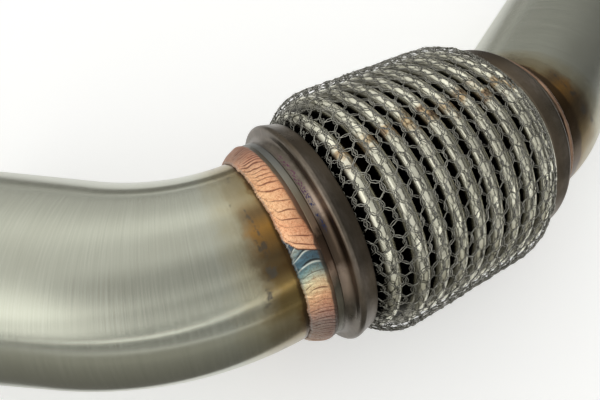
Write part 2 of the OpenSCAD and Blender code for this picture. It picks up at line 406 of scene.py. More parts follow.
def tube_steel():
    """Stainless tube, brushed round and round, with a burnt edge and gold tint beside the coupling."""
    material, tree, shader = new_material("tube_steel")
    along, angle = tube_places(tree)

    def around(turns, per_mm, detail, roughness=0.6):
        return noise(tree, ring_vector(tree, along, angle, turns, per_mm), 1.0, detail, roughness)

    streaks = around(1.6, 2.2, 5.0, 0.65)
    hairs = around(5.0, 9.0, 3.0)
    clouds = around(1.5, 0.035, 4.0)
    steel = ramp(tree, streaks, [(0.3, (0.435, 0.445, 0.375)), (0.5, (0.47, 0.48, 0.405)),
                                 (0.7, (0.51, 0.52, 0.445))])
    steel = mixed(tree, mapped(tree, clouds, 0.4, 0.72, 0.0, 0.3), steel, (0.40, 0.40, 0.33))
    # Distance past the bead's toe, ragged
    ragged = around(5.0, 0.16, 5.0, 0.65)
    toe = calc(tree, "SUBTRACT", along, OUTLET_BEAD)
    distance = shifted(tree, ragged, 9.0, toe)
    tint = ramp(tree, mapped(tree, distance, 0.0, 20.0, smooth=False), [
        (0.0, (0.30, 0.17, 0.08)), (0.05, (0.46, 0.30, 0.16)), (0.12, (0.66, 0.52, 0.34)),
        (0.30, (0.72, 0.60, 0.45)), (0.5, (0.80, 0.70, 0.56)), (0.62, (0.93, 0.86, 0.74)),
        (1.0, (1.0, 1.0, 1.0))])
    # The scorched side, and the soot blots above it
    burnt = times(tree, mapped(tree, off(tree, angle, 120.0), 26.0, 36.0, 1.0, 0.0),
                  mapped(tree, distance, 5.0, 11.0, 1.0, 0.0))
    scorch = by_angle(tree, angle, [
        (86, (0.60, 0.40, 0.22)), (95, (0.36, 0.22, 0.12)), (103, (0.74, 0.36, 0.09)),
        (111, (0.62, 0.33, 0.12)),
        (118, (0.20, 0.12, 0.06)), (127, (0.24, 0.14, 0.06)), (134, (0.58, 0.38, 0.15)),
        (146, (0.40, 0.28, 0.12))])
    tint = mixed(tree, times(tree, burnt, 0.88), tint, scorch)
    blots = mapped(tree, around(7.0, 0.30, 4.0), 0.56, 0.66)
    blots = times(tree, blots, window(tree, toe, 2.5, 5.0, 8.5, 12.0))
    tint = mixed(tree, times(tree, blots, 0.8), tint, (0.24, 0.21, 0.20))
    edge = mapped(tree, shifted(tree, ragged, 1.5, toe), 0.2, 1.1, 0.85, 0.0)
    tint = mixed(tree, edge, tint, (0.14, 0.08, 0.04))
    feed(tree, shader.inputs["Base Color"], mixed(tree, 1.0, steel, tint, "MULTIPLY"))
    feed(tree, shader.inputs["Roughness"], mapped(tree, streaks, 0.3, 0.75, 0.20, 0.27, smooth=False))
    shader.inputs["Anisotropic"].default_value = 0.9
    set_tangent(tree, shader)
    fine = bump(tree, hairs, 0.10, 0.00004)
    feed(tree, shader.inputs["Normal"], bump(tree, streaks, 0.20, 0.00005, fine))
    return material


def bellows_steel():
    """Bright formed sheet, with painted shade darkening it down the flanks and into the grooves, and gold
    heat tint in patches along one line.
    """
    material, tree, shader = new_material("bellows_steel")
    x, angle = coupling_places(tree)
    vector = ring_vector(tree, x, angle, 5.0, 0.05)
    clouds = noise(tree, vector, 1.0, 4.0)
    patches = noise(tree, vector, 2.2, 3.0)
    colour = ramp(tree, clouds, [(0.3, (0.72, 0.70, 0.56)), (0.7, (0.90, 0.88, 0.74))])
    gold = mapped(tree, shifted(tree, patches, 30.0, off(tree, angle, 92.0)), -1.0, 7.0, 0.85, 0.0)
    colour = mixed(tree, gold, colour, ramp(tree, patches, [
        (0.35, (0.22, 0.12, 0.06)), (0.5, (0.50, 0.33, 0.15)), (0.65, (0.66, 0.50, 0.28))]))
    # How deep a point lies below its crest, in millimetres
    depth = node(tree, "ShaderNodeAttribute", attribute_name="depth").outputs["Fac"]
    # Painted shade: the flanks darken with depth below the crest, and the grooves go near black
    dull, black = (0.075, 0.068, 0.054), (0.012, 0.011, 0.009)
    painted_flank_shade = mixed(tree, mapped(tree, depth, 2.4, 4.2), dull, black)
    colour = mixed(tree, mapped(tree, depth, 0.25, 1.6, 0.0, 0.74), colour, painted_flank_shade)
    colour = mixed(tree, mapped(tree, depth, 2.8, 4.4, 0.0, 0.9), colour, black)
    feed(tree, shader.inputs["Base Color"], colour)
    feed(tree, shader.inputs["Roughness"], mapped(tree, clouds, 0.3, 0.7, 0.17, 0.25, smooth=False))
    return material


def knit_wire():
    """Drawn wire, bright where it faces out, with painted shade making it dark on the side that faces the
    bellows.
    """
    material, tree, shader = new_material("knit_wire")
    texture = node(tree, "ShaderNodeTexCoord")
    clouds = noise(tree, texture.outputs["Object"], 90.0, 3.0)
    bright = ramp(tree, clouds, [(0.3, (0.22, 0.215, 0.185)), (0.7, (0.46, 0.45, 0.40))])
    outer = node(tree, "ShaderNodeAttribute", attribute_name="outer").outputs["Fac"]
    # Painted shade on the wire's inner side, by how far each side faces out
    colour = mixed(tree, mapped(tree, outer, 0.2, 0.85), (0.035, 0.033, 0.028), bright)
    feed(tree, shader.inputs["Base Color"], colour)
    shader.inputs["Roughness"].default_value = 0.18
    return material


def cap_oxide():
    """Dark brown and purple oxide with a soft gloss, burnt near black beside the blue part of the bead."""
    material, tree, shader = new_material("cap_oxide")
    x, angle = coupling_places(tree)
    end = calc(tree, "ABSOLUTE", x)

    def around(turns, per_mm, detail):
        return noise(tree, ring_vector(tree, x, angle, turns, per_mm), 1.0, detail)

    clouds = around(4.0, 0.12, 5.0)
    grain = around(16.0, 0.9, 4.0)
    oxide = ramp(tree, clouds, [(0.3, (0.120, 0.102, 0.076)), (0.5, (0.165, 0.140, 0.112)),
                                (0.7, (0.215, 0.178, 0.150))])
    oxide = mixed(tree, mapped(tree, grain, 0.35, 0.7, 0.0, 0.55), oxide, (0.095, 0.080, 0.064))
    # Browner at the top and far side of the crown, and a painted highlight, paler, at the near side of the
    # flare
    brown = times(tree, mapped(tree, angle, 72.0, 94.0, 1.0, 0.0),
                  mapped(tree, end, CAP_X - 3.6, CAP_X - 4.6))
    oxide = mixed(tree, times(tree, brown, 0.85), oxide, (0.075, 0.056, 0.036))
    # Painted highlight on the near side of the flare
    painted_flare_highlight = times(tree, window(tree, angle, 90.0, 104.0, 146.0, 160.0),
                   mapped(tree, end, CAP_X - 4.4, CAP_X - 3.2))
    oxide = mixed(tree, times(tree, painted_flare_highlight, 0.85), oxide, (0.36, 0.275, 0.215))
    # The rolled mouth is browner, and the flare beside the bead's blue part is burnt
    mouth = mapped(tree, end, MOUTH_X + 2.0, MOUTH_X + 5.5, 1.0, 0.0)
    oxide = mixed(tree, times(tree, mouth, 0.6), oxide, (0.130, 0.100, 0.068))
    wavy = calc(tree, "MULTIPLY_ADD", clouds, 14.0, angle)
    burnt = mapped(tree, off(tree, wavy, 131.0), 10.0, 17.0, 1.0, 0.0)
    flare = mapped(tree, end, CAP_X - 4.8, CAP_X - 3.2)
    oxide = mixed(tree, times(tree, burnt, flare, 0.85), oxide, (0.035, 0.022, 0.012))
    # A ragged line of purple and blue specks where the flare starts
    line = times(tree, window(tree, end, CAP_X - 2.4, CAP_X - 1.6, CAP_X - 0.6, CAP_X - 0.1),
                 mapped(tree, around(40.0, 2.2, 2.0), 0.50, 0.58),
                 window(tree, angle, 66.0, 78.0, 114.0, 120.0))
    specks = mixed(tree, mapped(tree, angle, 92.0, 104.0), (0.110, 0.030, 0.075), (0.025, 0.040, 0.120))
    oxide = mixed(tree, times(tree, line, 0.9), oxide, specks)
    feed(tree, shader.inputs["Base Color"], oxide)
    feed(tree, shader.inputs["Roughness"], mapped(tree, clouds, 0.3, 0.7, 0.26, 0.36, smooth=False))
    feed(tree, shader.inputs["Normal"], bump(tree, grain, 0.22, 0.0001))
    return material


def collar_steel():
    """Grey end of the coupling, burnt brown beside the blue part of the bead."""
    material, tree, shader = new_material("collar_steel")
    x, angle = coupling_places(tree)
    clouds = noise(tree, ring_vector(tree, x, angle, 9.0, 0.4), 1.0, 5.0, 0.65)
    colour = by_angle(tree, shifted(tree, clouds, 12.0, angle), [
        (-90, (0.12, 0.11, 0.09)), (62, (0.15, 0.15, 0.14)), (74, (0.18, 0.18, 0.165)),
        (92, (0.22, 0.20, 0.16)), (100, (0.19, 0.155, 0.11)), (113, (0.26, 0.175, 0.12)),
        (118, (0.045, 0.03, 0.02)), (130, (0.08, 0.05, 0.034)), (136, (0.27, 0.19, 0.14)),
        (143, (0.10, 0.09, 0.07)), (152, (0.18, 0.165, 0.13)), (270, (0.12, 0.11, 0.09))])
    feed(tree, shader.inputs["Base Color"], colour)
    feed(tree, shader.inputs["Roughness"], mapped(tree, clouds, 0.3, 0.7, 0.30, 0.42, smooth=False))
    feed(tree, shader.inputs["Normal"], bump(tree, clouds, 0.2, 0.0001))
    return material


def plain_metal(name, colour, roughness, spread=0.15):
    """A metal whose colour and gloss vary a little."""
    material, tree, shader = new_material(name)
    texture = node(tree, "ShaderNodeTexCoord")
    clouds = noise(tree, texture.outputs["Object"], 120.0, 4.0)
    grain = noise(tree, texture.outputs["Object"], 700.0, 4.0)
    dark = tuple(c * (1 - spread) for c in colour)
    pale = tuple(min(1.0, c * (1 + spread)) for c in colour)
    feed(tree, shader.inputs["Base Color"], ramp(tree, clouds, [(0.3, dark), (0.7, pale)]))
    gloss = mapped(tree, grain, 0.3, 0.7, roughness - 0.05, roughness + 0.08, smooth=False)
    feed(tree, shader.inputs["Roughness"], gloss)
    # The height is the mean of both noises and a level
    feed(tree, shader.inputs["Normal"], bump(tree, joined(tree, clouds, grain, 0.0), 0.25, 0.00015))
    return material


def weld_copper():
    """Rippled bead, copper and peach, with painted shade along its ripples; it laps its own start in a teal
    patch that fades to straw.
    """
    material, tree, shader = new_material("weld_copper")
    x, angle = coupling_places(tree)
    vector = ring_vector(tree, x, angle, 9.0, 0.3)
    clouds = noise(tree, vector, 1.0, 4.0)
    spots = noise(tree, vector, 4.5, 4.0, 0.65)
    specks = noise(tree, vector, 14.0, 3.0, 0.7)

    def value(name):
        return node(tree, "ShaderNodeAttribute", attribute_name=name).outputs["Fac"]

    # The colours follow the ripples, which bow along the bead
    bowed = shifted(tree, clouds, 3.0, calc(tree, "ADD", angle, value("bowed")))
    copper = by_angle(tree, bowed, [
        (-90, (0.44, 0.28, 0.20)), (54, (0.46, 0.27, 0.18)), (60, (0.60, 0.345, 0.225)),
        (66, (0.80, 0.47, 0.31)),
        (72, (0.88, 0.54, 0.33)), (79, (0.98, 0.60, 0.34)), (86, (0.98, 0.57, 0.31)),
        (94, (1.0, 0.62, 0.34)),
        (102, (0.98, 0.61, 0.34)), (109, (0.94, 0.50, 0.27)), (116, (1.0, 0.60, 0.35)),
        (230, (0.50, 0.34, 0.24)),
        (270, (0.44, 0.28, 0.20))])
    teal = by_angle(tree, bowed, [
        (116, (0.05, 0.09, 0.13)), (118.5, (0.32, 0.38, 0.34)), (120.5, (0.11, 0.20, 0.24)),
        (124, (0.06, 0.13, 0.18)), (127, (0.11, 0.22, 0.26)), (130, (0.24, 0.37, 0.35)),
        (133, (0.60, 0.66, 0.50)),
        (136, (0.95, 0.84, 0.53)), (139, (1.0, 0.80, 0.47)), (144, (1.0, 0.62, 0.35)),
        (150, (0.76, 0.45, 0.29)),
        (156, (0.58, 0.37, 0.29)), (162, (0.40, 0.32, 0.28)), (200, (0.50, 0.34, 0.24)),
        (270, (0.44, 0.28, 0.20))])
    colour = mixed(tree, value("lapped"), copper, teal)
    # Pinker towards the collar, and darker there as painted shade, on the side of the bead that faces away
    # from the light
    side = ramp(tree, value("across"), [
        (0.0, (0.80, 0.68, 0.66)), (0.4, (0.96, 0.90, 0.90)), (0.7, (1.0, 1.0, 1.0))])
    colour = mixed(tree, 1.0, colour, side, "MULTIPLY")
    colour = shaded(tree, mapped(tree, spots, 0.46, 0.66, 0.0, 0.75), colour, (0.74, 0.54, 0.46))
    colour = shaded(tree, mapped(tree, specks, 0.48, 0.66, 0.0, 0.75), colour, (0.60, 0.46, 0.40))
    # Painted highlight: a pale line beside each ripple in the lapped teal part
    colour = mixed(tree, times(tree, value("arc"), 0.85), colour, (0.85, 0.87, 0.76))
    # Painted shade along the ripples' lines and the lap line
    colour = shaded(tree, mapped(tree, value("groove"), 0.03, 0.55, 0.0, 0.88), colour, (0.24, 0.13, 0.10))
    land = by_angle(tree, angle, [
        (60, (0.15, 0.155, 0.13)), (80, (0.24, 0.225, 0.17)), (96, (0.34, 0.20, 0.14)),
        (108, (0.14, 0.09, 0.06)),
        (120, (0.08, 0.045, 0.03)), (132, (0.08, 0.07, 0.055)), (138, (0.24, 0.14, 0.075)),
        (146, (0.07, 0.05, 0.035)), (270, (0.10, 0.085, 0.065))])
    colour = mixed(tree, value("shade"), colour, land)
    rim = times(tree, value("rim"), mapped(tree, spots, 0.35, 0.6, 0.3, 0.8))
    colour = mixed(tree, rim, colour, (0.34, 0.33, 0.30))
    feed(tree, shader.inputs["Base Color"], colour)
    shader.inputs["Metallic"].default_value = 0.45
    feed(tree, shader.inputs["Roughness"], mapped(tree, clouds, 0.3, 0.7, 0.34, 0.44, smooth=False))
    return material


MATERIALS = {
    "tube_steel": tube_steel(),
    "bellows_steel": bellows_steel(),
    "knit_wire": knit_wire(),
    "cap_oxide": cap_oxide(),
    "liner_steel": plain_metal("liner_steel", (0.42, 0.41, 0.38), 0.4),
    "collar_steel": collar_steel(),
    "weld_copper": weld_copper(),
    "weld_dark": plain_metal("weld_dark", (0.30, 0.19, 0.13), 0.36, 0.3),
    "weld_silver": plain_metal("weld_silver", (0.55, 0.48, 0.38), 0.32, 0.25),
    "flange_steel": plain_metal("flange_steel", (0.58, 0.58, 0.54), 0.3),
}


# The camera, as the photograph was taken: just above the outlet side, looking down along the coupling
CAMERA_FROM_CENTRE = Vector((-105.94, -52.90, 167.68)) * MM
LOOK = Vector((0.32940, 0.34769, -0.87784)).normalized()
ROLL = 15.3134
FOCAL_PIXELS = 436.59
FRAME_WIDTH = 600
SENSOR = 36.0


def add_camera():
    data = bpy.data.cameras.new("camera")
    data.sensor_width = SENSOR
    data.lens = FOCAL_PIXELS * SENSOR / FRAME_WIDTH
    data.clip_start = 0.01
    camera = bpy.data.objects.new("camera", data)
    level = LOOK.cross(Vector((0, 0, 1))).normalized()
    above = level.cross(LOOK)
    right = level * cos(radians(ROLL)) + above * sin(radians(ROLL))
    top = right.cross(LOOK)
    turned_to = Matrix((right, top, -LOOK)).transposed().to_4x4()
    camera.matrix_world = Matrix.Translation(CENTRE + CAMERA_FROM_CENTRE) @ turned_to
    bpy.context.scene.collection.objects.link(camera)
    bpy.context.scene.camera = camera


add_camera()


# Tubes

TUBE_POINTS = 160
BEND_STEPS = 40
STRAIGHT_STEPS = 4


def tube(name, side, bend_r, angle, run, node_name):
    """A bent tube with its wall, from inside the coupling to its flange; side is -1 for the outlet."""
    straight = straight_length(bend_r, angle) - FLANGE_LEN
    bend_length = bend_r * angle
    stations = [-TUBE_INSERT, 0.0]
    stations += [run + bend_length * i / BEND_STEPS for i in range(BEND_STEPS + 1)]
    stations += [run + bend_length + straight * i / STRAIGHT_STEPS for i in range(1, STRAIGHT_STEPS + 1)]

    def section(s):
        """Centre of the tube and its direction towards the flanges' side, at a length along it."""
        turned_by = min(max(s - run, 0.0), bend_length) / bend_r
        past = max(s - run - bend_length, 0.0)
        x = END_X + min(s, run) + bend_r * sin(turned_by) + past * cos(angle)
        y = bend_r * (1 - cos(turned_by)) + past * sin(angle)
        return np.array((side * x, y, 0.0)), np.array((-side * sin(turned_by), cos(turned_by), 0.0))

    angles = np.radians(SEAM + 360 * np.arange(TUBE_POINTS) / TUBE_POINTS)
    up = np.array((0.0, 0.0, 1.0))
    points = []
    lengths = []
    for r, order in ((TUBE_R, stations), (BORE_R, stations[::-1])):
        for s in order:
            centre, outward = section(s)
            points.append(centre + r * (np.cos(angles)[:, None] * outward + np.sin(angles)[:, None] * up))
            lengths.append(s)
    quads = ring_quads(len(lengths), TUBE_POINTS, closed=True)
    lay = ring_lay(lengths, TUBE_POINTS, closed=True)
    if side > 0:
        quads, lay = quads[:, ::-1], lay[:, ::-1]
    points = np.concatenate(points)
    piece = new_piece(name, points, quads, MATERIALS["tube_steel"], [node_name], lay)
    piece.data.set_sharp_from_angle(angle=CREASE)


tube("outlet_pipe", -1, OUTLET_BEND_R, OUTLET_BEND, OUTLET_RUN, "outlet_tube")
tube("turbo_pipe", 1, TURBO_BEND_R, TURBO_BEND, TURBO_RUN, "turbo_tube")


# Coupling: bellows, caps, collars

def bellows_line(inset, steps):
    """One surface of the bellows; inset is 0 outside and the sheet inside."""
    half = CREST_WIDTH / 2
    gap = (PITCH - CREST_WIDTH) / 2
    line = []
    for i in range(CONVOLUTIONS):
        x = (i - (CONVOLUTIONS - 1) / 2) * PITCH
        height = END_CREST_R if i in (0, CONVOLUTIONS - 1) else CREST_R
        line += arc((x, height - half), half - inset, 180, 0, steps)
        if i < CONVOLUTIONS - 1:
            line += arc((x + PITCH / 2, ROOT_R + gap), gap + inset, 180, 360, steps // 2)
    return line


# The photograph shows the convolutions a little nearer the turbo, most of all on the near side
BELLOWS_START = -0.2
BELLOWS_STRETCH = 0.26
BELLOWS_LEAN = 1.5
# The lean fades out towards the last crests, and the cuffs stay where they are
LEAN_REACH = 44.0
CUFF_START = 46.0
CUFF_BLEND = 3.0


def flexed(points):
    """Moves the convolutions along the coupling, and leaves the cuffs."""
    x = points[:, 0]
    cosine = points[:, 1] / np.hypot(points[:, 1], points[:, 2])
    move = BELLOWS_START + BELLOWS_STRETCH * (x / PITCH + (CONVOLUTIONS - 1) / 2)
    move -= BELLOWS_LEAN * cosine * np.clip(1 - (x / LEAN_REACH) ** 4, 0, 1)
    points = points.copy()
    points[:, 0] += move * np.clip((CUFF_START - np.abs(x)) / CUFF_BLEND, 0, 1)
    return points


def add_bellows():
    """The bellows with its cuffs, and how deep each point lies below its crest."""
    def with_cuffs(line, r, start):
        return [(-END_X, r), (-start, r)] + line + [(start, r), (END_X, r)]

    edge = (CONVOLUTIONS - 1) / 2 * PITCH + CREST_WIDTH / 2
    outside = with_cuffs(bellows_line(0, 14), CUFF_OUT, edge + 0.8)
    inside = with_cuffs(bellows_line(BELLOWS_SHEET, 8), CUFF_IN, edge - BELLOWS_SHEET)
    profile = outside + inside[::-1]
    piece = turned("bellows_skin", profile, "bellows_steel", ["bellows"], flexed)
    depth = []
    for x, r in profile:
        crest = min(max(round(x / PITCH + (CONVOLUTIONS - 1) / 2), 0), CONVOLUTIONS - 1)
        depth.append((END_CREST_R if crest in (0, CONVOLUTIONS - 1) else CREST_R) - r)
    set_value(piece, "depth", np.repeat(depth, TURN_POINTS))


def cap_profile():
    """Pressed end cap: neck, concave flare, crowned lip and rolled mouth."""
    land = 0.6
    lean = 10.0
    crown_bend = CAP_SHEET + 0.3
    crown = (CAP_X - CAP_CROWN_AT, CAP_CROWN_R - crown_bend)
    flare_r = (CAP_CROWN_AT - land - crown_bend) / cos(radians(lean))
    flare = (CAP_X - land, NECK_OUT + flare_r)
    mouth = (MOUTH_X + CAP_SHEET / 2, MOUTH_OUT - CAP_SHEET / 2)
    return ([(CAP_X, COLLAR_IN), (CAP_X, NECK_OUT)]
            + arc(flare, flare_r, 270, 180 + lean, 16)
            + arc(crown, crown_bend, lean, 100, 14)
            + arc(mouth, CAP_SHEET / 2, 90, 270, 10)
            + arc(crown, crown_bend - CAP_SHEET, 100, lean, 6)
            + arc(flare, flare_r + CAP_SHEET, 180 + lean, 270, 16))


def collar_profile():
    """Collar with a rounded outer edge on the cap's side and a small one on the bead's side."""
    edge = 0.6
    return ([(END_X, COLLAR_IN)]
            + arc((END_X - edge / 2, COLLAR_OUT - edge / 2), edge / 2, 0, 90, 4)
            + arc((CAP_X + edge, COLLAR_OUT - edge), edge, 90, 180, 6)
            + [(CAP_X, COLLAR_IN)])


add_bellows()
turned("turbo_end_cap", cap_profile(), "cap_oxide", ["turbo_cap"])
turned("outlet_end_cap", mirrored(cap_profile()), "cap_oxide", ["outlet_cap"])
turned("turbo_end_ring", collar_profile(), "collar_steel", ["turbo_collar"])
turned("outlet_end_ring", mirrored(collar_profile()), "collar_steel", ["outlet_collar"])


# Weld beads

def smooth_random(seed, cells, samples):
    """A smooth closed random curve around a bead, from -1 to 1."""
    draw = np.random.default_rng(seed).uniform(-1, 1, cells)
    at = np.arange(samples) / samples * cells
    first = at.astype(int)
    share = at - first
    share = share * share * (3 - 2 * share)
    return draw[first % cells] * (1 - share) + draw[(first + 1) % cells] * share


# Where the outlet bead laps its own start, and how far its ripples trail and arch, in degrees
LAP_ANGLE = 123.6
TRAIL = 5.5
TOE_TRAIL = 7.0
ARCH = 4.5
DEGREE = radians(COLLAR_OUT)
BEAD_POINTS = 1440
BEAD_RINGS = 36


def bead(name, side, length, ripples, slot, replaces, seed, depth, wander,
         land=0.0, lap=False, around=BEAD_POINTS, across=BEAD_RINGS):
    """Fillet of weld between tube and coupling with a ripple for each dab of filler.

    land is the bare width left beside the collar at the top."""
    def wave(step, cells):
        """One of this bead's smooth random curves."""
        return smooth_random(seed + step, cells, around)

    rise = COLLAR_OUT - TUBE_R
    degrees_around = SEAM + 360 * np.arange(around) / around
    angles = np.radians(degrees_around)
    toe = length + wander * wave(0, 90) + wander * 0.6 * wave(1, 400)
    top = np.clip((116 - degrees_around) / 8, 0, 1) * np.clip((degrees_around - 20) / 20, 0, 1)
    start = land * top + wander * 0.7 * (1 + wave(5, 120))
    t = np.linspace(0, 1, across)[:, None]
    x = END_X + start + t * (toe - start)
    # Height of the bead over the straight line from the collar's edge to the toe
    crown = BEAD_SWELL * 1.2 * (1 - np.abs(2 * t - 1) ** 2.6) ** 0.8
    # How close the dabs lie: farther apart on both sides of the lap
    spacing = 1 + 0.35 * wave(2, 57)
    if lap:
        apart = np.clip((degrees_around - 80) / 8, 0, 1) * np.clip((140 - degrees_around) / 5, 0, 1)
        spacing *= 1 - 0.42 * apart
    count = np.cumsum(spacing) / np.sum(spacing) * ripples
    longer = np.concatenate([degrees_around - 360, degrees_around, degrees_around + 360])
    counts = np.concatenate([count - ripples, count, count + ripples])
    # The ripples trail back towards the toe, and past the lap they arch the other way
    trail = TRAIL * t + TOE_TRAIL * np.clip((t - 0.65) / 0.35, 0, 1) ** 2
    arch = ARCH * (1 - ((t - 0.42) / 0.58) ** 2)
    shake = 0.5 * wave(3, 140) * np.sin(t * 7 + 2 * wave(6, 40))
    trailing = degrees_around + trail + shake
    past = lap_line = np.zeros_like(trailing)
    if lap:
        past = (trailing > LAP_ANGLE) * np.clip((230 - degrees_around) / 50, 0, 1)
        lap_line = np.clip(1 - np.abs(trailing - LAP_ANGLE) / 0.55, 0, 1)
    bent = trailing * (1 - past) + (degrees_around + arch + shake) * past
    dabs = np.interp(bent, longer, counts)
    phase = dabs % 1.0
    pitch = 360 / (spacing / np.mean(spacing) * ripples) * DEGREE
    near_line = np.minimum(phase, 1 - phase) * pitch
    scale = np.sqrt(np.clip(1 - (2 * phase - 1) ** 4, 0, 1)) * (0.75 + 0.25 * phase)
    fine = np.sin(2 * pi * (dabs * 3.3 + 1.5 * wave(8, 90)))
    fade = np.sin(pi * np.clip(t, 0.02, 0.98)) ** 0.35
    strength = 0.6 + 0.4 * wave(7, 130)
    r = COLLAR_OUT - rise * t + crown
    r = r + depth * fade * (scale - 1) * (0.6 + 0.4 * strength) + 0.035 * fine * fade
    r = r - depth * 1.2 * lap_line * fade + 0.05 * wave(4, 700) * fade
    # Where painted shade falls along each ripple's line and along the lap
    groove = np.maximum(np.clip(1 - near_line / 0.42, 0, 1) * strength, lap_line) * fade
    r[-1, :] = TUBE_R - 0.15
    r[0, :] = COLLAR_OUT - 0.1
    x = np.concatenate([np.full((1, around), END_X), x])
    r = np.concatenate([np.full((1, around), COLLAR_OUT - 0.05), r])
    outside = np.stack([side * x, r * np.cos(angles), r * np.sin(angles)], -1).reshape(-1, 3)
    inner_y, inner_z = (TUBE_R - 0.2) * np.cos(angles), (TUBE_R - 0.2) * np.sin(angles)
    inside = [np.stack([np.full(around, side * place), inner_y, inner_z], -1)
              for place in (END_X + length * 0.9, END_X)]
    lengths = [0.0] + list(np.linspace(0, 1, across) * length) + [length, 0.0]
    quads = ring_quads(len(lengths), around, closed=True)
    lay = ring_lay(lengths, around, closed=True)
    if side > 0:
        quads, lay = quads[:, ::-1], lay[:, ::-1]
    piece = new_piece(name, np.concatenate([outside] + inside), quads, MATERIALS[slot], replaces, lay)
    plain = np.zeros(around)

    def keep(label, values, first=0.0):
        """Stores a value for the ring at the collar, the bead's surface and the two rings inside."""
        surface = np.broadcast_to(values, trailing.shape).ravel()
        set_value(piece, label, np.concatenate([plain + first, surface, plain, plain]))

    lower = np.clip((degrees_around - 116) / 4, 0, 1)
    beside_collar = np.clip((1 - t / (0.07 + 0.10 * lower)) * (1 + 2 * lower), 0, 1)
    at_toe = np.clip((t - 0.965) / 0.02, 0, 1)
    # Painted highlight for the lapped part: a pale band half a millimetre from each ripple's line
    pale = np.clip(1 - np.abs(phase * pitch - 0.5) / 0.34, 0, 1) * np.clip((138 - bent) / 6, 0, 1)
    keep("groove", groove)
    keep("shade", (beside_collar + at_toe) * 0.9, 0.9)
    keep("rim", np.clip(1 - np.abs(t - 0.945) / 0.025, 0, 1))
    keep("across", t)
    keep("lapped", past)
    keep("bowed", (trail - TRAIL / 2) * (1 - past) + (arch - ARCH) * past)
    keep("arc", past * pale * fade)


bead("outlet_bead", -1, OUTLET_BEAD, 131, "weld_copper", ["outlet_coupling_weld"], 11, 0.36, 0.3,
     land=1.0, lap=True)
# Mostly hidden behind its cap, so with fewer faces
bead("turbo_bead", 1, TURBO_BEAD, 150, "weld_dark", ["turbo_coupling_weld"], 31, 0.2, 0.2,
     around=960, across=20)


# Knitted sleeve: strands of paired wire run round it, and each meets its neighbours in turn

ROWS = 68
STRAND_GAP = 2.58
WIRE_R = 0.175
PAIR_GAP = 0.56
WIRE_SIDES = 4
TUCK_X = 49.0
# Where the rings of a wire lie within each row, closer together where it crosses from one wall to the next
ROW_STEPS = np.array((-0.475, -0.42, -0.36, -0.27, -0.14, 0.0, 0.14, 0.27, 0.36, 0.42, 0.475))
WALL_SHARE = 0.66
KNIT_SEED = 7


def sleeve_radius(x):
    """Radius of the middle of the knit at a place along the coupling."""
    share = np.clip((SHOULDER_X - np.abs(x)) / SHOULDER_LEN, 0, 1)
    return SLEEVE_R - (SLEEVE_R - SLEEVE_END_R) * (1 - share) ** 2 - 0.55


def strand_places():
    """Places of the strands along the coupling, evenly spaced over the curved surface."""
    x = np.linspace(-TUCK_X, TUCK_X, 4001)
    r = sleeve_radius(x)
    run = np.concatenate([[0], np.cumsum(np.hypot(np.diff(x), np.diff(r)))])
    count = int(round(run[-1] / STRAND_GAP))
    return np.interp(np.linspace(0, run[-1], count + 1), run, x)


def wire_mesh(path, radial, sides, r):
    """Points and faces of a closed wire along a looped path."""
    ahead = np.roll(path, -1, 0) - np.roll(path, 1, 0)
    ahead /= np.linalg.norm(ahead, axis=1)[:, None]
    across = np.cross(ahead, radial)
    across /= np.linalg.norm(across, axis=1)[:, None]
    outward = np.cross(across, ahead)
    turns = 2 * pi * (np.arange(sides) + 0.5) / sides
    ring = r * (np.cos(turns)[:, None] * across[:, None, :] + np.sin(turns)[:, None] * outward[:, None, :])
    return (path[:, None, :] + ring).reshape(-1, 3), ring_quads(len(path), sides, closed=True)


